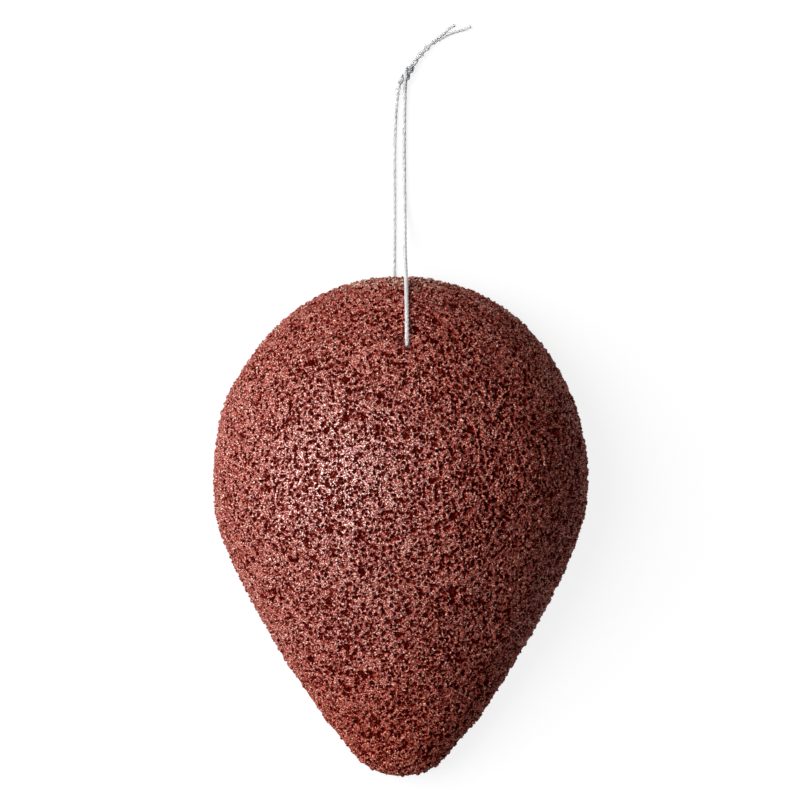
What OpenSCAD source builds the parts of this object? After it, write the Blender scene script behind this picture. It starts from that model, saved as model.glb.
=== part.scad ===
// Konjac facial sponge on a cotton cord, in millimetres.
// The sponge is a half-drop of foam that lies on its flat back: +Z up, +Y from the tip to the broad end.
// The origin is on the flat back, under the middle of the sponge.
// The cord goes through the sponge near its broad end and is knotted into a hanging loop with two tails.

/* [Sponge] */
// Length from the broad end to the tip
sponge_len = 80; // [72:1:100]
// Width at the widest place
sponge_w = 60; // [52:1:70]
// Height of the dome above the flat back
sponge_h = 30; // [22:1:40]
// Distance from the broad end to the widest place
crown_len = 32; // [26:1:40]
// Radius of the tip in the front view
tip_r = 10; // [6:0.5:14]
// Radius of the long flank in the front view
flank_r = 130; // [90:5:300]
// Rounding of the rim round the flat back
rim_r = 2.5; // [1:0.25:4]

/* [Cord] */
// Diameter of the cotton cord
cord_d = 0.7; // [0.5:0.05:0.8]
// Room round the cord in its bed and where it bends into the foam
cord_gap = 0.1; // [0.05:0.05:0.2]
// Diameter of the needle hole, which runs straight up through the foam
hole_d = 1; // [0.9:0.05:1.4]
// Radius of the hollow that the cord presses into the dome at the hole's mouth
mouth_r = 1.6; // [1.2:0.1:2.5]
// Depth of that hollow
mouth_depth = 1; // [0.5:0.1:1.5]

/* [Knot] */
// Length of the knot along the cord
knot_len = 3; // [2.5:0.1:4]
// Diameter over the knot's wraps
knot_d = 1.7; // [1.5:0.1:2.4]
// Number of wraps
knot_wraps = 3; // [2:1:4]
// Tilt of each wrap across the knot, in degrees
wrap_tilt = 24; // [10:1:35]

/* [Hidden] */

// How far a cut runs past what it cuts
overrun = 0.5;

foam = [0.55, 0.27, 0.23];
cotton = [0.93, 0.92, 0.89];

// Faces of the sponge: round the outline, over the dome and down the rim
arc_steps = 8;
dome_rings = 9;
rim_rings = 4;
// Sides of the cord's tube, which has one ring at each point of its route
cord_sides = 8;
$fn = 48;

cord_r = cord_d / 2;
// Height of the cord's middle where it lies on the table
lay_z = cord_r;

// The cord's route, chosen point by point at heights over the table. It starts a little beyond the rim,
// in the bed under the flat back, and turns up into the needle hole.
under_route = [
    [-1.03, 40.3, lay_z],
    [-0.63, 38.15, lay_z],
    [-0.17, 35.7, lay_z],
    [0.37, 32.75, lay_z],
    [0.83, 30.3, lay_z],
    [0.96, 29.55, 0.55],
    [1.06, 29.0, 1.1],
    [1.1, 28.8, 1.85]
];
// Straight up the needle hole to its mouth
through_route = [
    [1.1, 28.8, 1.85],
    [1.1, 28.8, 5],
    [1.1, 28.8, 9],
    [1.1, 28.8, 13],
    [1.1, 28.8, 17],
    [1.1, 28.8, 20.8]
];
// Out of the mouth, down over the dome and just short of the pivot
over_route = [
    [1.1, 28.8, 20.8],
    [1.1, 29.0, 21.55],
    [1.1, 29.55, 22.1],
    [1.1, 30.3, 22.3],
    [1.09, 30.95, 22.15],
    [1.08, 31.45, 21.95],
    [1.06, 33.3, 20.05],
    [1.04, 35.35, 17.6],
    [1.02, 36.9, 15.3],
    [1.0, 38.2, 13.0],
    [0.98, 39.4, 10.8],
    [0.96, 41.0, 8.3],
    [0.94, 42.7, 6.05]
];
// The front side of the loop, from the pivot down to the table and on into the knot
front_route = [
    [0.94, 43.0, 5.7],
    [0.9, 45.4, 3.3],
    [0.86, 48.0, 1.6],
    [0.82, 50.8, 0.7],
    [0.78, 53.6, 0.4],
    [0.74, 57.0, lay_z],
    [0.72, 61.0, lay_z],
    [0.7, 65.0, lay_z],
    [0.7, 68.4, 0.4],
    [0.74, 70.2, 0.6],
    [0.82, 71.75, 0.85]
];
// The back side of the loop, from clear of the pivot into the knot
back_route = [
    [-1.12, 42.2, lay_z],
    [-1.18, 46.0, lay_z],
    [-1.2, 50.0, lay_z],
    [-1.18, 54.0, lay_z],
    [-1.08, 58.0, lay_z],
    [-0.92, 62.0, lay_z],
    [-0.72, 65.5, lay_z],
    [-0.44, 68.5, 0.4],
    [-0.17, 70.4, 0.6],
    [0.2, 72.15, 0.85]
];
// The knot's two ends, seen from above
knot_ends = [
    [0.3, 71.6],
    [1.8, 74.1]
];
// The two tails, one lying against and half over the other as far as the fork, and then apart
upper_route = [
    [1.28, 73.95, 1.0],
    [1.83, 74.75, 0.9],
    [2.72, 75.88, 0.9],
    [3.67, 76.96, 0.9],
    [4.65, 77.98, 0.75],
    [5.9, 78.95, 0.42],
    [7.25, 79.9, lay_z],
    [8.6, 80.8, lay_z]
];
lower_route = [
    [1.9, 73.55, 0.7],
    [2.23, 74.45, lay_z],
    [3.08, 75.54, lay_z],
    [4.03, 76.62, lay_z],
    [5.08, 77.5, lay_z],
    [6.3, 78.1, lay_z],
    [7.5, 78.7, lay_z],
    [8.9, 79.35, lay_z],
    [10.1, 79.85, lay_z],
    [11.2, 80.35, lay_z]
];

// Places along the outline: the widest place, the tip's arc and the arc of the flank that joins both
half_w = sponge_w / 2;
wide_y = sponge_len / 2 - crown_len;
tip_y = tip_r - sponge_len / 2;
shoulder_gap = flank_r - half_w;
tip_gap = flank_r - tip_r;
drop = wide_y - tip_y;
flank_up = (tip_gap * tip_gap - shoulder_gap * shoulder_gap - drop * drop) / (2 * drop);
flank_in = sqrt(shoulder_gap * shoulder_gap - flank_up * flank_up);
flank_from = -asin(flank_up / shoulder_gap);
flank_to = -asin((flank_up + drop) / tip_gap);
shoulder_y = wide_y + half_w * sin(flank_from);
taper_y = tip_y + tip_r * sin(flank_to);

// Points of one arc, from one angle to another, without its last point
function arc(at, rx, ry, from, to, steps) = [
    for (i = [0 : steps - 1])
        let (a = from + (to - from) * i / steps) [at[0] + rx * cos(a), at[1] + ry * sin(a)]
];

// The right half of the outline, from the middle of the broad end to just short of the tip
right_half = concat(
    arc([0, wide_y], half_w, crown_len, 90, 0, 2 * arc_steps),
    arc([0, wide_y], half_w, half_w, 0, flank_from, arc_steps / 2),
    arc([-flank_in, wide_y + flank_up], flank_r, flank_r, flank_from, flank_to, arc_steps),
    arc([0, tip_y], tip_r, tip_r, flank_to, -90, arc_steps)
);
last = len(right_half) - 1;
outline = concat(
    right_half,
    [[0, -sponge_len / 2]],
    [for (i = [last : -1 : 1]) [-right_half[i][0], right_half[i][1]]]
);
sides = len(outline);

// Half the sponge's width at a place along its length
function half_width(y) =
    y >= wide_y ? half_w * sqrt(max(0, 1 - pow((y - wide_y) / crown_len, 2)))
    : y >= shoulder_y ? sqrt(max(0, half_w * half_w - pow(y - wide_y, 2)))
    : y >= taper_y ? sqrt(max(0, flank_r * flank_r - pow(y - wide_y - flank_up, 2))) - flank_in
    : sqrt(max(0, tip_r * tip_r - pow(y - tip_y, 2)));

// Height of the dome: each cross-section is half an ellipse that keeps its proportions
function dome_z(x, y) =
    rim_r + (sponge_h - rim_r) / half_w * sqrt(max(0, pow(half_width(y), 2) - x * x));

function unit(v) = v / norm(v);

// Direction from a point of the outline into the sponge, square to the outline
function inward(i) =
    let (v = outline[(i + 1) % sides] - outline[(i + sides - 1) % sides]) unit([v[1], -v[0]]);

// Rings of the sponge's surface, from near the crown out to the widest line, and down round the rim
function dome_ring(k) =
    let (share = sin(90 * k / dome_rings))
    [for (p = outline)
        let (x = share * p[0], y = wide_y + share * (p[1] - wide_y)) [x, y, dome_z(x, y)]];

function rim_ring(k) =
    let (a = 90 * k / rim_rings, in = rim_r * (1 - cos(a)))
    [for (i = [0 : sides - 1])
        let (p = outline[i] + in * inward(i)) [p[0], p[1], rim_r * (1 - sin(a))]];

function skirt_ring() = [for (p = rim_ring(rim_rings)) [p[0], p[1], -overrun]];

// Side faces between rings that follow each other, each ring with the same number of points
function band_faces(rings, around) = [
    for (k = [0 : rings - 2], i = [0 : around - 1], half = [0, 1])
        let (j = (i + 1) % around, a = k * around, b = a + around)
        half == 0 ? [a + i, b + i, b + j] : [a + i, b + j, a + j]
];

module foam_blank() {
    rings = concat(
        [for (k = [1 : dome_rings]) dome_ring(k)],
        [for (k = [1 : rim_rings]) rim_ring(k)],
        [skirt_ring()]
    );
    points = [for (ring = rings) each ring];
    crown = len(points);
    foot = crown + 1;
    base = crown - sides;
    polyhedron(
        concat(points, [[0, wide_y, sponge_h], [0, wide_y, -overrun]]),
        concat(
            [for (i = [0 : sides - 1]) [crown, i, (i + 1) % sides]],
            band_faces(len(rings), sides),
            [for (i = [0 : sides - 1]) [foot, base + (i + 1) % sides, base + i]]
        )
    );
}

// Direction of a route at one of its points
function step(route, i) = unit(route[i + 1] - route[i]);
function heading(route, i) =
    i == 0 ? step(route, 0)
    : i == len(route) - 1 ? step(route, i - 1)
    : unit(step(route, i - 1) + step(route, i));

// A ring of the tube round one point of its route, square to the route there
function tube_ring(route, i, r) =
    let (
        ahead = heading(route, i),
        across = unit([1, 0, 0] - ahead[0] * ahead),
        over = cross(ahead, across)
    )
    [for (k = [0 : cord_sides - 1])
        let (a = 360 * (k + 0.5) / cord_sides)
        route[i] + r * (cos(a) * across + sin(a) * over)];

// One stretch of tube, between two of the points of a route
module tube(route, first, final, r) {
    rings = [for (i = [first : final]) tube_ring(route, i, r)];
    points = [for (ring = rings) each ring];
    polyhedron(
        points,
        concat(
            [[for (k = [0 : cord_sides - 1]) k]],
            band_faces(len(rings), cord_sides),
            [[for (k = [1 : cord_sides]) len(points) - k]]
        )
    );
}

module cord(route, first, final) {
    color(cotton)
        tube(route, first, final, cord_r);
}

module whole_cord(route) {
    cord(route, 0, len(route) - 1);
}

// The cord that the sponge holds is one route, so its three stretches meet face to face
function after_first(route) = [for (i = [1 : len(route) - 1]) route[i]];
held_route = concat(under_route, after_first(through_route), after_first(over_route));
hole_foot = len(under_route) - 1;
hole_mouth = hole_foot + len(through_route) - 1;
// The first point past the mouth at which the cord is clear of the foam
clear_of_foam = hole_mouth + 5;

module below_back() {
    translate([-sponge_w, -sponge_len, -2 * overrun])
        cube([2 * sponge_w, 2 * sponge_len, 2 * overrun]);
}

// A needle makes the hole, so it is straight and reaches the dome at any height
module needle_hole() {
    foot = through_route[0];
    tube([foot, [foot[0], foot[1], sponge_h + overrun]], 0, 1, hole_d / 2);
}

// The hollow lies where the cord bends over the dome, and follows the dome's height
module mouth() {
    at = over_route[2];
    translate([at[0], at[1], dome_z(at[0], at[1]) + mouth_r - mouth_depth])
        sphere(r = mouth_r);
}

// The foam is cut for the cord: the needle hole with its mouth, and the cord's bed in the back
module sponge() {
    color(foam)
        difference() {
            foam_blank();
            below_back();
            needle_hole();
            mouth();
            tube(held_route, 0, clear_of_foam, cord_r + cord_gap);
        }
}

module cord_under_back() {
    cord(held_route, 0, hole_foot);
}

module cord_through_sponge() {
    cord(held_route, hole_foot, hole_mouth);
}

module cord_over_dome() {
    cord(held_route, hole_mouth, len(held_route) - 1);
}

// The front side ends in the middle of the pivot, so it turns there without touching the fixed cord
module loop_front_strand() {
    whole_cord(front_route);
}

module loop_back_strand() {
    whole_cord(back_route);
}

module tail_upper() {
    whole_cord(upper_route);
}

module tail_lower() {
    whole_cord(lower_route);
}

// The knot: slanting wraps of the cord on a core, lying on the table
knot_run = knot_ends[1] - knot_ends[0];
knot_at = (knot_ends[0] + knot_ends[1]) / 2;
wrap_r = knot_d / 2 - cord_r;
wrap_reach = wrap_r * sin(wrap_tilt) + cord_r;
wrap_pitch = (knot_len - 2 * wrap_reach) / (knot_wraps - 1);

module knot() {
    color(cotton)
        translate([knot_at[0], knot_at[1], knot_d / 2])
            rotate([-90, 0, -atan2(knot_run[0], knot_run[1])]) {
                cylinder(r = wrap_r, h = knot_len - cord_d, center = true);
                for (i = [0 : knot_wraps - 1])
                    translate([0, 0, wrap_reach + i * wrap_pitch - knot_len / 2])
                        rotate([0, i % 2 == 0 ? wrap_tilt : -wrap_tilt, 0])
                            rotate_extrude()
                                translate([wrap_r, 0])
                                    circle(cord_r);
            }
}

sponge();
cord_over_dome();
cord_through_sponge();
cord_under_back();
loop_front_strand();
loop_back_strand();
knot();
tail_upper();
tail_lower();
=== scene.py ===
import math

import bmesh
import bpy
import numpy as np
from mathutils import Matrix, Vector


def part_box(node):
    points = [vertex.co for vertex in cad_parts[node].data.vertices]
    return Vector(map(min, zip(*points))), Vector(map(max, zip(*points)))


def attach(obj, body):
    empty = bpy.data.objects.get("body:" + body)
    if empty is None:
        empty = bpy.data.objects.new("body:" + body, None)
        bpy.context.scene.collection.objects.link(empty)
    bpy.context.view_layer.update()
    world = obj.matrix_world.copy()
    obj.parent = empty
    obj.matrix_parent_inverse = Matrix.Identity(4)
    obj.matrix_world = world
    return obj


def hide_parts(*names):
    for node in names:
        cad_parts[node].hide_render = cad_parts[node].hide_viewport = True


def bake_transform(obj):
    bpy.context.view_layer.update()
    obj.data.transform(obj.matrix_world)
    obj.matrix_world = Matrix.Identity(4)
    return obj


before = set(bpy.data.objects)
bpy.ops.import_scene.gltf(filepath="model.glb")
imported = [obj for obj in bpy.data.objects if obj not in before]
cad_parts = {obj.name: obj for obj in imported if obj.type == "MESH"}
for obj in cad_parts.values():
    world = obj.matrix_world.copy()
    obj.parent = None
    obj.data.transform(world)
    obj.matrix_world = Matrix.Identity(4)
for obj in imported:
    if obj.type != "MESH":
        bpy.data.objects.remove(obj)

# The looks of the konjac sponge: moist foam with real pores, and a cotton cord of twisted plies.
# Angles are in radians. A pair of limits says where a smooth step starts and where it ends.

MM = 0.001
FULL_TURN = 2 * math.pi
NOISE_MEAN = 0.5
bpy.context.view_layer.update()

# The photograph's frame, and the camera straight above the table
IMAGE = 800
PIXEL = 0.16113
VIEW_CENTRE = (-0.11, 20.3)
CAMERA_HEIGHT = 1200.0
CLIP_NEAR, CLIP_FAR = 10.0, 10000.0

# The sponge, as in the CAD source where the frame doesn't give it
CROWN_LEN = 32.0
TIP_R = 10.0
FLANK_R = 130.0
RIM_R = 2.5
HOLE_R = 0.5
MOUTH_R = 1.6
MOUTH_DEPTH = 1.0

# Places along its outline: the widest place, the tip's arc, the flank's arc and where the arcs meet
sponge_low, sponge_high = (np.array(corner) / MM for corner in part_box("sponge"))
HALF_W = (sponge_high[0] - sponge_low[0]) / 2
HALF_LEN = (sponge_high[1] - sponge_low[1]) / 2
DOME_TOP = sponge_high[2]
WIDE_Y = HALF_LEN - CROWN_LEN
TIP_Y = TIP_R - HALF_LEN
DROP = WIDE_Y - TIP_Y
FLANK_UP = ((FLANK_R - TIP_R) ** 2 - (FLANK_R - HALF_W) ** 2 - DROP**2) / (2 * DROP)
FLANK_IN = math.sqrt((FLANK_R - HALF_W) ** 2 - FLANK_UP**2)
SHOULDER_Y = WIDE_Y - HALF_W * FLANK_UP / (FLANK_R - HALF_W)
TAPER_Y = TIP_Y - TIP_R * (FLANK_UP + DROP) / (FLANK_R - TIP_R)
OUTLINE_FINE = 4000

# The cord, the room round it in the foam, and the height of its middle where it lies on the table
CORD_R = 0.35
CORD_GAP = 0.1
LAY = CORD_R

# Its twisted plies: how many, their radius and the length of a full twist
PLIES = 3
PLY_R = 0.2
PLY_PITCH = 2.9

# Paths: the steps between two points of a route, the step of the cord's mesh and the sides of its skin.
# UPRIGHT is the sine below which a path counts as starting straight up.
SPAN_STEPS = 24
CORD_STEP = 0.1
CORD_SIDES = 30
UPRIGHT = 0.1
THINNING = 3

# The cord's route, close to the CAD source's: from the knot along the back side of the loop, in its bed
# under the sponge, up the needle hole, over the dome and along the front side of the loop to the knot
BACK = [
    (0.1, 71.95, 0.85),
    (-0.25, 71.3, 0.7),
    (-0.47, 70.3, 0.6),
    (-0.64, 69.0, 0.48),
    (-0.9, 65.5, LAY),
    (-1.02, 62.0, LAY),
    (-1.06, 58.0, LAY),
    (-1.04, 54.0, LAY),
    (-1.04, 50.0, LAY),
    (-1.06, 46.0, LAY),
    (-1.1, 42.2, LAY),
]
UNDER = [
    (-1.03, 40.3, LAY),
    (-0.63, 38.15, LAY),
    (-0.17, 35.7, LAY),
    (0.37, 32.75, LAY),
    (0.83, 30.3, LAY),
    (0.96, 29.55, 0.55),
    (1.06, 29.0, 1.1),
    (1.1, 28.8, 1.85),
]
THROUGH = [
    (1.1, 28.8, 5),
    (1.1, 28.8, 9),
    (1.1, 28.8, 13),
    (1.09, 28.78, 17),
    (1.05, 28.72, 21.2),
]
OVER = [
    (1.02, 28.78, 21.85),
    (0.99, 29.2, 22.22),
    (0.98, 30.3, 22.3),
    (0.99, 30.95, 22.15),
    (0.99, 31.45, 21.95),
    (0.98, 33.3, 20.05),
    (0.96, 35.35, 17.6),
    (0.94, 36.9, 15.3),
    (0.92, 38.2, 13.0),
    (0.89, 39.4, 10.8),
    (0.81, 41.0, 8.3),
    (0.73, 42.7, 6.05),
]
FRONT = [
    (0.67, 45.4, 3.3),
    (0.64, 48.0, 1.6),
    (0.62, 50.8, 0.7),
    (0.58, 53.6, 0.4),
    (0.54, 57.0, LAY),
    (0.52, 61.0, LAY),
    (0.55, 65.0, LAY),
    (0.6, 68.4, 0.4),
    (0.64, 70.4, 0.6),
    (0.76, 71.9, 0.85),
]

# The back side of the loop swells next to the knot, in waves that die out over SWOLLEN_LEN
SWELLING = 0.5
SWOLLEN_LEN = 3.4
SWELLING_WAVE = 0.5
SWELLING_TURN = 5.2

# The middle of the two tails, as far as they wind round each other, and then each tail by itself
TWIN = [
    (1.65, 73.9, 0.85),
    (2.3, 74.95, 0.75),
    (3.0, 75.9, 0.7),
    (3.85, 76.85, 0.7),
    (4.8, 77.72, 0.68),
]
UPPER_TAIL = [
    (5.75, 78.55, 0.6),
    (6.9, 79.45, 0.42),
    (7.7, 80.15, LAY),
    (8.7, 80.85, LAY),
]
LOWER_TAIL = [
    (5.8, 78.22, 0.5),
    (6.7, 78.76, LAY),
    (7.6, 79.24, LAY),
    (8.6, 79.64, LAY),
    (9.8, 79.99, LAY),
    (10.7, 80.25, LAY),
    (11.3, 80.6, LAY),
]
TWIN_PITCH = 2.9
TWIN_REACH = 0.27
TWIN_TURN = 0.6
TWIN_HEIGHT_SHARE = 0.8

# Each tail is thinner than the cord, with uneven beads along it. BEAD_TURN is their turn from one point
# of the path to the next, and BEAD_STRAY and STRAY_TURN make them stray from it.
TAIL_LOOK = {"pitch": 2.5, "ply_r": 0.15, "reach": 0.28}
BEADS = 0.25
BEAD_TURN = 0.71
BEAD_STRAY = 1.5
STRAY_TURN = 0.13

# The knot: a leaning coil of the cord, which rises out of its core at one end and sinks in at the other.
# It takes up KNOT_LEN_SHARE of the way from foot to head, and WRAP_RISE says how fast it rises.
KNOT_FOOT = (0.35, 71.75, 0.85)
KNOT_HEAD = (1.75, 74.1, 0.85)
KNOT_TURNS = 1.6
KNOT_START = 2.9
KNOT_LEN_SHARE = 0.7
KNOT_LEAN = 0.5
KNOT_LEAN_TURN = 2.0
KNOT_POINTS = 90
KNOT_STEP = 0.07
WRAP_R = 0.36
WRAP_RISE = 9
WRAP_LOOK = {"pitch": 2.2, "turn": 0.6, "ply_r": 0.33, "reach": 0.42}

# The core: both sides of the loop run on through the coil, and CORE_INTO_TAIL points into the tails
CORE_FROM_FRONT = [(1.1, 72.6, 0.9), (1.35, 73.2, 0.95)]
CORE_FROM_BACK = [(0.58, 72.7, 0.8), (1.0, 73.3, 0.75)]
CORE_LOOK = {"pitch": 2.4, "ply_r": 0.28}
CORE_INTO_TAIL = 4

# The foam's mesh: the cuts for the cord, then small even faces, slightly smoothed
BED_STEP = 0.4
OVERRUN = 1
VOXEL = 0.15
SOFTEN, SOFTEN_TIMES = 0.5, 2

# Layers of pits, each with the size of its cells, the smallest and largest radius as shares of that
# size, and the height of the floor in the deepest and in the shallowest pits. The wall of a pit rises
# between two shares of its radius, and STIR moves the pits so that they aren't quite round.
PIT_LAYERS = (
    (0.36, 0.3, 0.75, 0.4, 1.0),
    (0.64, 0.22, 0.62, 0.0, 0.3),
    (1.15, 0.13, 0.38, 0.0, 0.0),
    (2.8, 0.0, 0.25, 0.0, 0.0),
)
PIT_WALL = (0.82, 1.08)
STIR, STIR_SCALE = 0.5, 1.3

# How far pores, lumps, grain and crumbs move the foam's skin; scales of noise are in turns per mm
PORE_DEPTH = 0.35
PORE_MEAN = 0.6
LUMP_DEPTH, LUMP_SCALE = 1.0, 0.09
GRAIN_DEPTH, GRAIN_SCALE = 0.02, 2.6
CRUMB_HEIGHT, CRUMB_SCALE = 0.25, 1.5
CRUMB_LIMITS = (0.58, 0.72)

# The foam's colours, from the bottom of a pore to the crest of a wall, with painted shade that darkens
# them towards the pore bottoms, and how flecks shift them
FOAM_TONES_AND_PORE_SHADE = (
    (0.0, (0.04, 0.001, 0.0005)),
    (0.25, (0.13, 0.006, 0.003)),
    (0.5, (0.272, 0.02, 0.0115)),
    (0.75, (0.46, 0.065, 0.04)),
    (1.0, (0.75, 0.185, 0.118)),
)
CREST_TONE = 0.76
FLECKS, FLECK_SCALE = 2.5, 5.5

# Cream bits, partly pale crumbs and partly painted glints: the palest flecks, and larger spots that come
# in along the length near the rim of the broad end, where they are a painted rim highlight
CREAM_AND_GLINT = (0.96, 0.8, 0.6, 1)
CREAM_GLINT_SHARE = 0.8
CREAM_GLINT_LIMITS = (0.6, 0.7)
CREAM_GLINT_HEIGHT = (0.35, 0.8)
GLINT_SPOT_SCALE = 1.9
GLINT_SPOT_LIMITS = (0.57, 0.64)
GLINT_SPOTS_FROM = (37.4, 39.3)

# The foam's own shine, and the film of water on its crests, which thins out along MOIST_FROM to the tip
FOAM_IOR = 1.5
PORE_ROUGH, CREST_ROUGH = 0.95, 0.5
ROUGH_HEIGHT = (0.3, 0.8)
CREST_SPECULAR = 0.04
SPECULAR_HEIGHT = (0.3, 0.9)
FILM_ROUGH = 0.67
FILM_IOR = 2.2
FILM_HEIGHT = (0.55, 1.0)
SPECK_LIMITS = (0.52, 0.66)
DRY_SPECK = 0.05
MOIST_FROM = (-36.0, -14.0)
DRY_TIP = 0.1
BUMP, BUMP_DEPTH = 0.5, 0.3

# The cotton, whose light spreads inside it
FIBRE_SCALE = 9.0
COTTON_DARK = (0.89, 0.9, 0.91, 1)
COTTON_LIGHT = (0.96, 0.97, 0.97, 1)
# The knot's darker grey-blue tint and how strongly it is laid on: painted shade on the knot
COTTON_KNOT_SHADE = (0.76, 0.8, 0.84, 1)
KNOT_SHADE_SHARE = 0.9
COTTON_ROUGH = 0.85
COTTON_SPECULAR = 0.25
COTTON_GLOW = 1.0
COTTON_GLOW_COLOUR = (1.0, 1.0, 0.95)

# The floor: its own tone where the camera sees it, and the tone that lights the sponge from below. The
# lamps bring out FLOOR_LIT_SHARE of its own tone, and a glow lifts that to FLOOR_WHITE.
FLOOR_SIZE = 3000.0
FLOOR = 0.2
BOUNCE = 0.85
FLOOR_WHITE = 1.02
FLOOR_LIT_SHARE = 0.8

# The lamps, in watts, from the left; the second one is seen only as shine
AMBIENT = 0.075
LAMP_DISTANCE = 1500.0
LAMP_AIM = (0, 0, 10.0)
KEY, KEY_SIZE, KEY_FROM = 25, 1200.0, (-0.64, 0.13, 0.755)
SHINE, SHINE_SIZE, SHINE_FROM = 124, 900.0, (-0.64, 0.02, 0.77)

# The sponge's map for baking: its margin, the band for the rounded rim, then corner and size of the
# patches for the flat back and for the needle hole's wall, all as shares of the map
MAP_MARGIN = 0.005
MAP_RIM_SHARE = 0.07
MAP_OUTLINE_POINTS = 2000
BACK_CORNER, BACK_PATCH_W = (0.76, 0.6), 0.23
HOLE_CORNER, HOLE_PATCH = (0.8, 0.05), (0.1, 0.4)

# Which faces belong to those patches: up to these heights, and within these reaches
FLAT_TOP = 0.05
BED_TOP = 1.2
BED_REACH_SHARE = 0.92
HOLE_SLACK = 0.2
TINY = 1e-6


# Meshes


def mesh_object(name, points, faces, smooth=True):
    """A new mesh piece from points in millimetres."""
    mesh = bpy.data.meshes.new(name)
    mesh.from_pydata((np.asarray(points) * MM).tolist(), [], faces)
    mesh.validate()
    if smooth:
        mesh.shade_smooth()
    piece = bpy.data.objects.new(name, mesh)
    bpy.context.scene.collection.objects.link(piece)
    return piece


def apply_modifiers(piece):
    seen = piece.evaluated_get(bpy.context.evaluated_depsgraph_get())
    mesh = bpy.data.meshes.new_from_object(seen)
    piece.modifiers.clear()
    piece.data = mesh


def coordinates(mesh):
    """The points of a mesh, in millimetres."""
    points = np.empty(len(mesh.vertices) * 3)
    mesh.vertices.foreach_get("co", points)
    return points.reshape(-1, 3) / MM


def whole_numbers(items, name):
    values = np.empty(len(items), int)
    items.foreach_get(name, values)
    return values


def keep_vectors(piece, name, vectors):
    """Stores a vector at each point of a piece, for node trees to read."""
    kept = piece.data.attributes.new(name, "FLOAT_VECTOR", "POINT")
    kept.data.foreach_set("vector", np.ravel(vectors))


def band_faces(rings, sides):
    """Faces between rings of points that follow each other."""
    faces = []
    for ring in range(rings - 1):
        for k in range(sides):
            a, b = ring * sides + k, ring * sides + (k + 1) % sides
            faces.append((a, b, b + sides, a + sides))
    return faces


def tube_faces(rings, sides):
    """The faces of a tube that is closed at both ends."""
    foot = tuple(reversed(range(sides)))
    head = tuple((rings - 1) * sides + k for k in range(sides))
    return [*band_faces(rings, sides), foot, head]


def join_parts(parts):
    """Several lists of points and faces as one."""
    points, faces, start = [], [], 0
    for more_points, more_faces in parts:
        points.append(more_points)
        faces += [tuple(start + v for v in face) for face in more_faces]
        start += len(more_points)
    return np.concatenate(points), faces


# Paths


def distance_along(path):
    """How far each point of a path is from its start."""
    steps = np.linalg.norm(np.diff(path, axis=0), axis=1)
    return np.concatenate([[0], np.cumsum(steps)])


def smooth_path(route, step=CORD_STEP):
    """Points a step apart on a smooth curve through a route's points."""
    route = np.asarray(route, float)
    ahead = np.concatenate([[2 * route[0] - route[1]], route, [2 * route[-1] - route[-2]]])
    t = np.linspace(0, 1, SPAN_STEPS, endpoint=False)[:, None]
    spans = []
    for a, b, c, d in zip(ahead, ahead[1:], ahead[2:], ahead[3:]):
        square, cube = 2 * a - 5 * b + 4 * c - d, 3 * b - a - 3 * c + d
        spans.append(0.5 * (2 * b + (c - a) * t + square * t**2 + cube * t**3))
    fine = np.concatenate([*spans, [route[-1]]])
    along = distance_along(fine)
    even = np.linspace(0, along[-1], max(2, round(along[-1] / step)) + 1)
    return np.stack([np.interp(even, along, fine[:, k]) for k in range(3)], 1)


def frames_along(path):
    """Two directions square to a path at each of its points, which don't turn round it."""
    ahead = np.gradient(path, axis=0)
    ahead /= np.linalg.norm(ahead, axis=1)[:, None]
    side = np.cross(ahead[0], (0.0, 0.0, 1.0))
    if np.linalg.norm(side) < UPRIGHT:
        side = np.array((1.0, 0.0, 0.0))
    sides = []
    for a in ahead:
        side = side - a * (side @ a)
        side /= np.linalg.norm(side)
        sides.append(side)
    sides = np.array(sides)
    return sides, np.cross(ahead, sides)


def tube(path, radius, sides=24):
    """Points and faces of a plain tube along a path."""
    side, up = frames_along(path)
    angles = [FULL_TURN * k / sides for k in range(sides)]
    lines = [path + radius * (math.cos(a) * side + math.sin(a) * up) for a in angles]
    return np.stack(lines, 1).reshape(-1, 3), tube_faces(len(path), sides)


def twisted(path, spread=None, turn=0.0, pitch=PLY_PITCH, ply_r=PLY_R, reach=CORD_R):
    """Points and faces of one closed skin round the plies twisted along a path. spread swells the cord
    at each point, turn is the angle at which the twist starts, and reach is the whole cord's radius."""
    spread = np.ones(len(path)) if spread is None else spread
    side, up = frames_along(path)
    around = FULL_TURN * np.arange(CORD_SIDES) / CORD_SIDES
    ply_turn = FULL_TURN / PLIES
    from_ply = (around + ply_turn / 2) % ply_turn - ply_turn / 2
    ply_out = ((reach - ply_r) * spread)[:, None]
    ply_round = np.sqrt(np.clip(ply_r**2 - (ply_out * np.sin(from_ply)) ** 2, 0, None))
    out = (ply_out * np.cos(from_ply) + ply_round)[..., None]
    angle = (turn + FULL_TURN * distance_along(path) / pitch)[:, None] + around
    across = np.cos(angle)[..., None] * side[:, None] + np.sin(angle)[..., None] * up[:, None]
    points = path[:, None] + out * across
    return points.reshape(-1, 3), tube_faces(len(path), CORD_SIDES)


# Node trees


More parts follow.
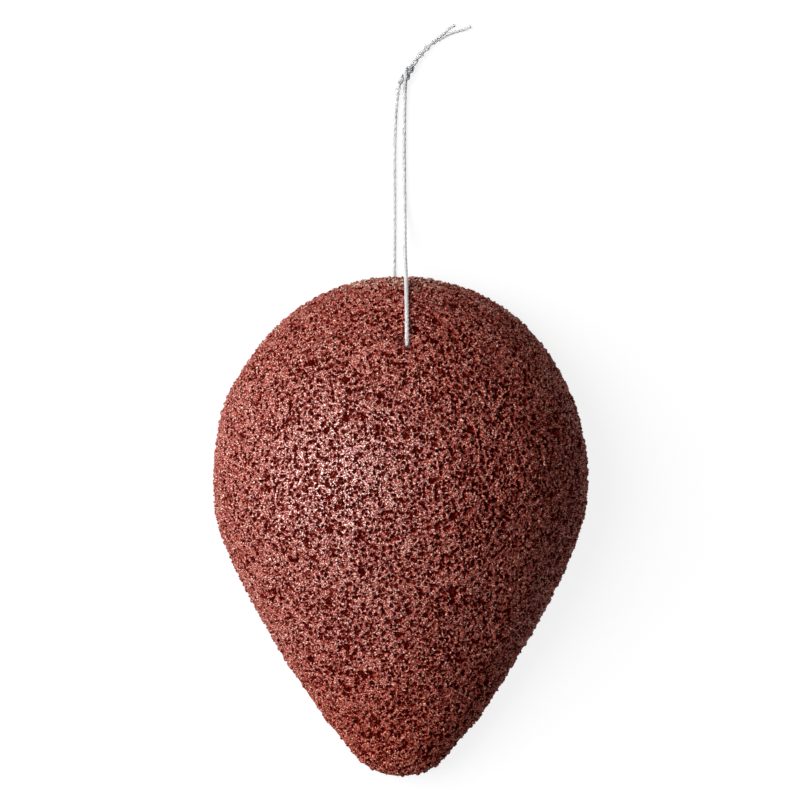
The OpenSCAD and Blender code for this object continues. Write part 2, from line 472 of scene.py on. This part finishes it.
class Tree:
    """A short way to write nodes. Values may be numbers, tuples or other nodes' outputs."""

    def __init__(self, tree):
        self.tree = tree

    def add(self, kind, values=None, **settings):
        node = self.tree.nodes.new(kind)
        for name, value in settings.items():
            setattr(node, name, value)
        for name, value in (values or {}).items():
            self.give(node.inputs[name], value)
        return node

    def give(self, socket, value):
        if isinstance(value, bpy.types.NodeSocket):
            self.tree.links.new(value, socket)
        else:
            socket.default_value = value

    def math(self, operation, *values):
        node = self.add("ShaderNodeMath", operation=operation)
        for socket, value in zip(node.inputs, values):
            self.give(socket, value)
        return node.outputs[0]

    def vector(self, operation, *values):
        node = self.add("ShaderNodeVectorMath", operation=operation)
        for socket, value in zip(node.inputs, values):
            self.give(socket, value)
        return node.outputs[0]

    def scaled(self, vector, factor):
        values = {"Vector": vector, "Scale": factor}
        return self.add("ShaderNodeVectorMath", values, operation="SCALE").outputs[0]

    def parts(self, vector):
        return self.add("ShaderNodeSeparateXYZ", {0: vector}).outputs

    def ease(self, value, limits, low=0.0, high=1.0):
        """A smooth step from low to high, while a value goes from one limit to the other."""
        values = {"Value": value, "From Min": limits[0], "From Max": limits[1]}
        values |= {"To Min": low, "To Max": high}
        return self.add("ShaderNodeMapRange", values, interpolation_type="SMOOTHSTEP").outputs[0]

    def noise(self, place, scale, detail):
        values = {"Vector": place, "Scale": scale, "Detail": detail, "Roughness": 0.5}
        return self.add("ShaderNodeTexNoise", values).outputs

    def stored(self, name, output="Vector"):
        """What a mesh stores at each of its points."""
        return self.add("ShaderNodeAttribute", attribute_name=name).outputs[output]

    def mix(self, share, first, second):
        """A colour between two colours."""
        values = {"Factor": share, 6: first, 7: second}
        return self.add("ShaderNodeMix", values, data_type="RGBA").outputs[2]


def new_material(name):
    material = bpy.data.materials.new(name)
    material.use_nodes = True
    return material, Tree(material.node_tree), material.node_tree.nodes["Principled BSDF"]


# The sponge's form


def half_width(y):
    """Half the sponge's width at a place along its length, by the same four arcs as the CAD source."""
    crown = HALF_W * np.sqrt(np.clip(1 - ((y - WIDE_Y) / CROWN_LEN) ** 2, 0, None))
    belly = np.sqrt(np.clip(HALF_W**2 - (y - WIDE_Y) ** 2, 0, None))
    flank = np.sqrt(np.clip(FLANK_R**2 - (y - WIDE_Y - FLANK_UP) ** 2, 0, None)) - FLANK_IN
    tip = np.sqrt(np.clip(TIP_R**2 - (y - TIP_Y) ** 2, 0, None))
    return np.select([y >= WIDE_Y, y >= SHOULDER_Y, y >= TAPER_Y], [crown, belly, flank], tip)


def dome_height(x, y):
    rise = (DOME_TOP - RIM_R) / HALF_W
    return RIM_R + rise * np.sqrt(np.clip(half_width(y) ** 2 - x**2, 0, None))


def sponge_outline(count):
    """Evenly spaced points round the sponge, seen from above, the same way round as a clock's hands."""
    y = HALF_LEN * np.cos(np.linspace(0, math.pi, OUTLINE_FINE))
    x = half_width(y)
    x, y = np.concatenate([x, -x[-2::-1]]), np.concatenate([y, y[-2::-1]])
    along = np.concatenate([[0], np.cumsum(np.hypot(np.diff(x), np.diff(y)))])
    even = np.linspace(0, along[-1], count, endpoint=False)
    return np.interp(even, along, x), np.interp(even, along, y)


def half_drop(around=300, dome_rings=50, rim_rings=6):
    """Points and faces of the smooth sponge, closed by its flat back."""
    x, y = sponge_outline(around)
    rings = []
    for share in np.sin(np.linspace(0, math.pi / 2, dome_rings + 1)[1:]):
        ring_x, ring_y = share * x, WIDE_Y + share * (y - WIDE_Y)
        rings.append((ring_x, ring_y, dome_height(ring_x, ring_y)))
    ahead = np.roll(x, -1) - np.roll(x, 1), np.roll(y, -1) - np.roll(y, 1)
    out = np.array([-ahead[1], ahead[0]]) / np.hypot(*ahead)
    for a in np.linspace(0, math.pi / 2, rim_rings + 1)[1:]:
        inset, height = RIM_R * (1 - math.cos(a)), RIM_R * (1 - math.sin(a))
        rings.append((x - inset * out[0], y - inset * out[1], np.full(around, height)))
    points = [np.stack(ring, 1) for ring in rings]
    points.append(np.array([(0, WIDE_Y, DOME_TOP), (0, WIDE_Y, 0)]))
    faces = band_faces(len(rings), around)
    crown, last = around * len(rings), around * (len(rings) - 1)
    for i in range(around):
        j = (i + 1) % around
        faces.append((crown, j, i))
        faces.append((crown + 1, last + i, last + j))
    return np.concatenate(points), faces


def ball(centre, radius, rings=20, sides=40):
    """Points and faces of a ball."""
    points = [(0, 0, radius)]
    for i in range(1, rings):
        down = math.pi * i / rings
        ring_r, height = radius * math.sin(down), radius * math.cos(down)
        for k in range(sides):
            a = FULL_TURN * k / sides
            points.append((ring_r * math.cos(a), ring_r * math.sin(a), height))
    points.append((0, 0, -radius))
    faces = [(0, 1 + k, 1 + (k + 1) % sides) for k in range(sides)]
    for i in range(rings - 2):
        a = 1 + i * sides
        for k in range(sides):
            j = (k + 1) % sides
            faces.append((a + k, a + sides + k, a + sides + j, a + j))
    a = 1 + (rings - 2) * sides
    faces += [(len(points) - 1, a + (k + 1) % sides, a + k) for k in range(sides)]
    return np.array(points) + np.asarray(centre), faces


def cut(piece, points, faces):
    """Takes a closed form out of a piece."""
    cutter = mesh_object("cutter", points, faces, smooth=False)
    mesh = bmesh.new()
    mesh.from_mesh(cutter.data)
    bmesh.ops.recalc_face_normals(mesh, faces=mesh.faces)
    mesh.to_mesh(cutter.data)
    mesh.free()
    step = piece.modifiers.new("cut", "BOOLEAN")
    step.operation, step.solver, step.object = "DIFFERENCE", "EXACT", cutter
    apply_modifiers(piece)
    bpy.data.objects.remove(cutter)


def cut_for_cord(piece):
    """Cuts the cord's bed under the back, the needle hole, and the mouth that the cord presses in."""
    held = smooth_path(UNDER + THROUGH + OVER, BED_STEP)
    clear_at = dome_height(held[:, 0], held[:, 1]) + CORD_R + CORD_GAP
    lies_free = np.flatnonzero(held[:, 2] > clear_at)[0]
    cut(piece, *tube(held[: lies_free + 2], CORD_R + CORD_GAP))
    hole_x, hole_y, _ = THROUGH[0]
    needle = np.array([(hole_x, hole_y, z) for z in (UNDER[-1][2], DOME_TOP + OVERRUN)])
    cut(piece, *tube(needle, HOLE_R))
    mouth_x, mouth_y, _ = OVER[2]
    dome_z = float(dome_height(np.array(mouth_x), np.array(mouth_y)))
    cut(piece, *ball((mouth_x, mouth_y, dome_z + MOUTH_R - MOUTH_DEPTH), MOUTH_R))


# The sponge's map for baking


def arc_share(sine):
    """How far round a quarter of a circle a sine lies, from 0 to 1."""
    return np.arcsin(np.clip(sine, 0, 1)) * 2 / math.pi


def from_crown(at):
    """How far places lie from the crown, seen from above, and how far the outline lies from it there."""
    outline_x, outline_y = sponge_outline(MAP_OUTLINE_POINTS)
    bearing = np.arctan2(outline_x, outline_y - WIDE_Y)
    order = np.argsort(bearing)
    reach = np.hypot(outline_x, outline_y - WIDE_Y)[order]
    x, y = at[:, 0], at[:, 1] - WIDE_Y
    return np.hypot(x, y), np.interp(np.arctan2(x, y), bearing[order], reach, period=FULL_TURN)


def round_hole(at):
    """Which way places lie from the middle of the needle hole, as a share of a turn."""
    hole_x, hole_y, _ = THROUGH[0]
    return np.arctan2(at[:, 0] - hole_x, at[:, 1] - hole_y) / FULL_TURN + 0.5


def back_and_hole(middle):
    """Which faces, by their middles, lie on the flat back or in its bed, and which in the hole."""
    height = middle[:, 2]
    near, far = from_crown(middle)
    in_back = (height < FLAT_TOP) | ((height < BED_TOP) & (near / far < BED_REACH_SHARE))
    hole_x, hole_y, _ = THROUGH[0]
    in_hole = np.hypot(middle[:, 0] - hole_x, middle[:, 1] - hole_y) < HOLE_R + HOLE_SLACK
    mouth_foot = dome_height(middle[:, 0], middle[:, 1]) - MOUTH_DEPTH
    in_hole &= (height > BED_TOP) & (height < mouth_foot)
    return in_back, in_hole


def opened_dome(at):
    """Places on the map of the dome, opened like an umbrella, with the rounded rim outside it."""
    near, far = from_crown(at)
    dome_share, rim_share = near / far, arc_share(1 - at[:, 2] / RIM_R)
    dome_share[at[:, 2] < RIM_R] = 1
    spread = arc_share(dome_share) * (1 - MAP_RIM_SHARE) + MAP_RIM_SHARE * rim_share
    spread *= far / np.maximum(near, TINY)
    out = spread[:, None] * (at[:, :2] - (0, WIDE_Y))
    scale = (1 - 2 * MAP_MARGIN) / (2 * HALF_LEN)
    return MAP_MARGIN + scale * (out + (HALF_W, HALF_LEN + WIDE_Y))


def bake_map(piece, points):
    """Lays the sponge out for baking from its smooth shape's points: the dome opened like an umbrella,
    the flat back beside it, and the needle hole's wall unrolled below that."""
    mesh = piece.data
    count = whole_numbers(mesh.polygons, "loop_total")
    at = points[whole_numbers(mesh.loops, "vertex_index")]
    middle = np.add.reduceat(at, whole_numbers(mesh.polygons, "loop_start")) / count[:, None]
    in_back, in_hole = (np.repeat(which, count) for which in back_and_hole(middle))
    place = opened_dome(at)
    back_scale = BACK_PATCH_W / (2 * HALF_W)
    place[in_back] = BACK_CORNER + back_scale * (at[in_back][:, :2] + (HALF_W, HALF_LEN))
    turn = round_hole(at)
    turn += np.round(np.repeat(round_hole(middle), count) - turn)
    place[in_hole, 0] = HOLE_CORNER[0] + HOLE_PATCH[0] * turn[in_hole]
    place[in_hole, 1] = HOLE_CORNER[1] + HOLE_PATCH[1] * at[in_hole, 2] / DOME_TOP
    layer = mesh.uv_layers.new(name="OFBake")
    layer.data.foreach_set("uv", place.ravel())


# The foam's pores


def pit_layer(tree, place, size, smallest, largest, deepest, shallowest):
    """A layer of round pits of random size and depth: 1 between them, and down to 0 in the deepest."""
    pit = tree.add("ShaderNodeTexVoronoi", {"Vector": place, "Scale": 1 / size}, feature="F1")
    tones = tree.parts(pit.outputs["Color"])
    radius = tree.math("MULTIPLY_ADD", tones[0], largest - smallest, smallest)
    floor = tree.math("MULTIPLY_ADD", tones[1], shallowest - deepest, deepest)
    side = tree.ease(tree.math("DIVIDE", pit.outputs["Distance"], radius), PIT_WALL)
    return tree.math("MULTIPLY_ADD", side, tree.math("SUBTRACT", 1.0, floor), floor)


def foam_relief(tree, place):
    """How high the foam stands at a place in mm: near 0 in a pore, near 1 on the walls between."""
    stir = tree.noise(place, STIR_SCALE, 2.0)[1]
    stir = tree.vector("SUBTRACT", stir, (NOISE_MEAN, NOISE_MEAN, NOISE_MEAN))
    place = tree.vector("ADD", place, tree.scaled(stir, STIR))
    height = 1.0
    for layer in PIT_LAYERS:
        height = tree.math("MULTIPLY", height, pit_layer(tree, place, *layer))
    return height


def pore_nodes():
    """Geometry nodes that press the pores into a mesh along its normals."""
    group = bpy.data.node_groups.new("pores", "GeometryNodeTree")
    for way in ("INPUT", "OUTPUT"):
        group.interface.new_socket("Geometry", in_out=way, socket_type="NodeSocketGeometry")
    tree = Tree(group)
    source, result = tree.add("NodeGroupInput"), tree.add("NodeGroupOutput")
    rest = tree.add("GeometryNodeInputNamedAttribute", {"Name": "rest"}, data_type="FLOAT_VECTOR")
    place = rest.outputs["Attribute"]
    height = foam_relief(tree, place)
    lump = tree.noise(place, LUMP_SCALE, 1.0)[0]
    grain = tree.noise(place, GRAIN_SCALE, 1.0)[0]
    crumb = tree.ease(tree.noise(place, CRUMB_SCALE, 0.0)[0], CRUMB_LIMITS)
    offset = tree.math("MULTIPLY", tree.math("SUBTRACT", height, PORE_MEAN), PORE_DEPTH)
    for relief, depth in ((lump, LUMP_DEPTH), (grain, GRAIN_DEPTH)):
        relief = tree.math("SUBTRACT", relief, NOISE_MEAN)
        offset = tree.math("MULTIPLY_ADD", relief, depth, offset)
    offset = tree.math("MULTIPLY_ADD", crumb, CRUMB_HEIGHT, offset)
    normal = tree.add("GeometryNodeInputNormal").outputs[0]
    offset = tree.scaled(normal, tree.math("MULTIPLY", offset, MM))
    moved = tree.add("GeometryNodeSetPosition", {"Geometry": source.outputs[0], "Offset": offset})
    tree.give(result.inputs[0], moved.outputs[0])
    return group


def make_sponge():
    piece = mesh_object("foam_sponge", *half_drop(), smooth=False)
    cut_for_cord(piece)
    step = piece.modifiers.new("even", "REMESH")
    step.mode, step.voxel_size, step.adaptivity = "VOXEL", VOXEL * MM, 0.0
    step = piece.modifiers.new("soften", "SMOOTH")
    step.factor, step.iterations = SOFTEN, SOFTEN_TIMES
    apply_modifiers(piece)
    points = coordinates(piece.data)
    keep_vectors(piece, "rest", points)
    normals = np.empty(len(points) * 3)
    piece.data.vertex_normals.foreach_get("vector", normals)
    keep_vectors(piece, "film", normals)
    bake_map(piece, points)
    step = piece.modifiers.new("pores", "NODES")
    step.node_group = pore_nodes()
    apply_modifiers(piece)
    points = coordinates(piece.data)
    points[:, 2] = np.maximum(points[:, 2], 0)
    piece.data.vertices.foreach_set("co", points.ravel() * MM)
    piece.data.update()
    piece.data.shade_smooth()
    piece.data.materials.clear()
    piece.data.materials.append(foam)
    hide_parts("sponge")
    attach(piece, "sponge")


# Materials


def make_foam():
    material, tree, shader = new_material("foam")
    place = tree.stored("rest")
    height = foam_relief(tree, place)
    along = tree.parts(place)[1]

    flecks = tree.noise(place, FLECK_SCALE, 1.0)[0]
    tone = tree.math("MULTIPLY", height, CREST_TONE)
    shift = tree.math("SUBTRACT", flecks, NOISE_MEAN)
    # The ramp is the foam's own red-brown, with painted shade darkening the pore bottoms
    ramp = tree.add("ShaderNodeValToRGB", {0: tree.math("MULTIPLY_ADD", shift, FLECKS, tone)})
    while len(ramp.color_ramp.elements) < len(FOAM_TONES_AND_PORE_SHADE):
        ramp.color_ramp.elements.new(0.5)
    for element, (at, colour) in zip(ramp.color_ramp.elements, FOAM_TONES_AND_PORE_SHADE):
        element.position, element.color = at, (*colour, 1)

    # Pale cream flecks and rim spots: partly crumbs, partly painted glints and a painted rim highlight
    rim_glint_spots = tree.ease(tree.noise(place, GLINT_SPOT_SCALE, 0.0)[0], GLINT_SPOT_LIMITS)
    rim_glint_spots = tree.math("MULTIPLY", rim_glint_spots, tree.ease(along, GLINT_SPOTS_FROM))
    cream_and_glint = tree.ease(flecks, CREAM_GLINT_LIMITS, 0.0, CREAM_GLINT_SHARE)
    cream_and_glint = tree.math("MAXIMUM", cream_and_glint, rim_glint_spots)
    cream_and_glint = tree.math("MULTIPLY", cream_and_glint, tree.ease(height, CREAM_GLINT_HEIGHT))
    tree.give(shader.inputs["Base Color"], tree.mix(cream_and_glint, ramp.outputs[0], CREAM_AND_GLINT))

    rough = tree.ease(height, ROUGH_HEIGHT, PORE_ROUGH, CREST_ROUGH)
    tree.give(shader.inputs["Roughness"], rough)
    specular = tree.ease(height, SPECULAR_HEIGHT, 0.0, CREST_SPECULAR)
    tree.give(shader.inputs["Specular IOR Level"], specular)
    shader.inputs["IOR"].default_value = FOAM_IOR

    specks = tree.ease(flecks, SPECK_LIMITS, DRY_SPECK, 1.0)
    moist = tree.math("MULTIPLY", specks, tree.ease(along, MOIST_FROM, DRY_TIP, 1.0))
    moist = tree.math("MULTIPLY", tree.ease(height, FILM_HEIGHT), moist)
    tree.give(shader.inputs["Coat Weight"], moist)
    shader.inputs["Coat Roughness"].default_value = FILM_ROUGH
    shader.inputs["Coat IOR"].default_value = FILM_IOR
    ways = {"vector_type": "NORMAL", "convert_from": "OBJECT", "convert_to": "WORLD"}
    film = tree.add("ShaderNodeVectorTransform", {0: tree.stored("film")}, **ways)
    tree.give(shader.inputs["Coat Normal"], film.outputs[0])

    values = {"Height": height, "Strength": BUMP, "Distance": BUMP_DEPTH * MM}
    tree.give(shader.inputs["Normal"], tree.add("ShaderNodeBump", values).outputs[0])
    return material


def make_cotton():
    material, tree, shader = new_material("cotton")
    place = tree.add("ShaderNodeTexCoord").outputs["Object"]
    fibres = tree.noise(place, FIBRE_SCALE / MM, 2.0)[0]
    tint = tree.mix(fibres, COTTON_DARK, COTTON_LIGHT)
    # Painted shade: the knot's points carry a darker grey-blue tint
    tint = tree.mix(tree.stored("knot_shade", "Fac"), tint, COTTON_KNOT_SHADE)
    tree.give(shader.inputs["Base Color"], tint)
    shader.inputs["Roughness"].default_value = COTTON_ROUGH
    shader.inputs["Specular IOR Level"].default_value = COTTON_SPECULAR
    shader.inputs["Subsurface Weight"].default_value = 1.0
    shader.inputs["Subsurface Radius"].default_value = COTTON_GLOW_COLOUR
    shader.inputs["Subsurface Scale"].default_value = COTTON_GLOW * MM
    return material


# Camera, floor and light


def make_camera():
    data = bpy.data.cameras.new("camera")
    rim_distance = CAMERA_HEIGHT - RIM_R
    data.lens = data.sensor_width * rim_distance / (IMAGE * PIXEL)
    data.clip_start, data.clip_end = CLIP_NEAR * MM, CLIP_FAR * MM
    camera = bpy.data.objects.new("camera", data)
    camera.location = (VIEW_CENTRE[0] * MM, VIEW_CENTRE[1] * MM, CAMERA_HEIGHT * MM)
    bpy.context.scene.collection.objects.link(camera)
    bpy.context.scene.camera = camera


def make_floor():
    """A pale floor, which the camera sees as white with the object's shadow on it."""
    bpy.ops.mesh.primitive_plane_add(size=FLOOR_SIZE * MM, location=(0, 0, 0))
    floor = bpy.context.object
    floor.name = "floor"
    material, tree, shader = new_material("floor")
    material.node_tree.nodes.remove(shader)
    seen = tree.add("ShaderNodeLightPath").outputs
    direct = tree.math("MAXIMUM", seen["Is Camera Ray"], seen["Is Glossy Ray"])
    direct = tree.math("MAXIMUM", direct, seen["Is Transmission Ray"])
    tone = tree.math("MULTIPLY_ADD", direct, FLOOR - BOUNCE, BOUNCE)
    plain = tree.add("ShaderNodeBsdfDiffuse", {"Color": tone})
    glow = tree.math("MULTIPLY", direct, FLOOR_WHITE - FLOOR_LIT_SHARE * FLOOR)
    white = tree.add("ShaderNodeEmission", {"Color": (1, 1, 1, 1), "Strength": glow})
    both = tree.add("ShaderNodeAddShader", {0: plain.outputs[0], 1: white.outputs[0]})
    surface = material.node_tree.nodes["Material Output"].inputs["Surface"]
    tree.give(surface, both.outputs[0])
    floor.data.materials.append(material)


def area_lamp(name, direction, size, watts):
    """A round soft lamp that shines on the sponge's middle."""
    data = bpy.data.lights.new(name, "AREA")
    data.shape, data.size, data.energy = "DISK", size * MM, watts
    lamp = bpy.data.objects.new(name, data)
    direction = Vector(direction).normalized()
    lamp.location = (direction * LAMP_DISTANCE + Vector(LAMP_AIM)) * MM
    lamp.rotation_euler = direction.to_track_quat("Z", "Y").to_euler()
    bpy.context.scene.collection.objects.link(lamp)
    return lamp


def make_light():
    world = bpy.data.worlds.new("world")
    world.use_nodes = True
    background = world.node_tree.nodes["Background"]
    background.inputs["Color"].default_value = (1, 1, 1, 1)
    background.inputs["Strength"].default_value = AMBIENT
    bpy.context.scene.world = world
    area_lamp("key", KEY_FROM, KEY_SIZE, KEY)
    area_lamp("shine", SHINE_FROM, SHINE_SIZE, SHINE).visible_diffuse = False


# The cord's pieces


def cotton_piece(name, points, faces):
    piece = mesh_object(name, points, faces)
    piece.data.materials.append(cotton)
    return piece


def stretch(name, whole, first, last):
    """A stretch of the cord between two points of its whole path, and its path."""
    path = whole[first:last]
    start = FULL_TURN * first * CORD_STEP / PLY_PITCH
    from_knot = np.arange(first, last) * CORD_STEP
    fading = np.clip(1 - from_knot / SWOLLEN_LEN, 0, 1) ** 0.5
    wave = 1 + SWELLING_WAVE * np.sin(from_knot * SWELLING_TURN)
    spread = 1 + SWELLING * fading * wave
    return cotton_piece(name, *twisted(path, turn=start, spread=spread)), path


def tail_paths():
    """The two tails, twisted round each other up to where they part."""
    twin = smooth_path(TWIN)
    side, up = frames_along(twin)
    angle = FULL_TURN * np.arange(len(twin)) * CORD_STEP / TWIN_PITCH + TWIN_TURN
    angle = angle[:, None]
    out = TWIN_REACH * (np.cos(angle) * side + TWIN_HEIGHT_SHARE * np.sin(angle) * up)
    paths = []
    for sign, rest in ((1, UPPER_TAIL), (-1, LOWER_TAIL)):
        paths.append(smooth_path(np.concatenate([(twin + sign * out)[::THINNING], rest])))
    return paths


def make_tail(name, path):
    n = np.arange(len(path))
    beads = 1 + BEADS * np.sin(n * BEAD_TURN + BEAD_STRAY * np.sin(n * STRAY_TURN))
    return cotton_piece(name, *twisted(path, spread=beads, **TAIL_LOOK))


def make_knot(tails):
    """The small overhand knot: slanting turns of the cord round its own two sides."""
    foot, head = np.array(KNOT_FOOT), np.array(KNOT_HEAD)
    length = np.linalg.norm(head - foot)
    ahead = (head - foot) / length
    across, up = np.cross(ahead, (0, 0, 1)), np.array((0.0, 0.0, 1.0))
    t = np.linspace(0, 1, KNOT_POINTS)
    angle = FULL_TURN * KNOT_TURNS * t + KNOT_START
    from_end = np.minimum(t, 1 - t)
    reach = WRAP_R * np.sin(np.clip(from_end * WRAP_RISE, 0, math.pi / 2)) ** 0.5
    along = length * (0.5 + KNOT_LEN_SHARE * (t - 0.5))
    along += KNOT_LEAN * np.cos(angle + KNOT_LEAN_TURN)
    wrap = foot + np.outer(along, ahead)
    wrap += np.outer(reach * np.cos(angle), across) + np.outer(reach * np.sin(angle), up)
    parts = [twisted(smooth_path(wrap[::THINNING], KNOT_STEP), **WRAP_LOOK)]
    strands = (FRONT[-2:] + CORE_FROM_FRONT, BACK[1::-1] + CORE_FROM_BACK)
    for strand, tail in zip(strands, tails):
        core = smooth_path([*strand, tail[0], tail[CORE_INTO_TAIL]], KNOT_STEP)
        parts.append(twisted(core, **CORE_LOOK))
    piece = cotton_piece("cord_knot", *join_parts(parts))
    # Every point of the knot is marked for the painted shade tint
    knot_shade = piece.data.attributes.new("knot_shade", "FLOAT", "POINT")
    knot_shade.data.foreach_set("value", np.full(len(piece.data.vertices), KNOT_SHADE_SHARE))
    return piece


# The object

foam = make_foam()
cotton = make_cotton()
bpy.context.scene.view_settings.view_transform = "Standard"
make_camera()
make_light()
make_floor()
make_sponge()

# The cord is one path, cut where it goes under the sponge and where it comes out of the mouth
whole = smooth_path(BACK + UNDER + THROUGH + OVER + FRONT)
root = next(i for i, p in enumerate(whole) if p[1] < UNDER[1][1])
mouth = next(i for i, p in enumerate(whole) if i > root and p[2] > THROUGH[-1][2])
back, back_path = stretch("cord_loop_back", whole, 0, root + 1)
held, _ = stretch("cord_held", whole, root, mouth + 1)
front, front_path = stretch("cord_loop_front", whole, mouth, len(whole))
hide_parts("loop_back_strand")
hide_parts("cord_under_back", "cord_through_sponge")
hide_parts("cord_over_dome", "loop_front_strand")
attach(held, "sponge")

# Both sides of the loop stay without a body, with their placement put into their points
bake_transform(back)
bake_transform(front)

both = tail_paths()
for name, path in zip(("tail_upper", "tail_lower"), both):
    tail = make_tail("cord_" + name, path)
    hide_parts(name)
    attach(tail, "loop")
knot = make_knot(both)
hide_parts("knot")
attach(knot, "loop")

bpy.context.view_layer.update()
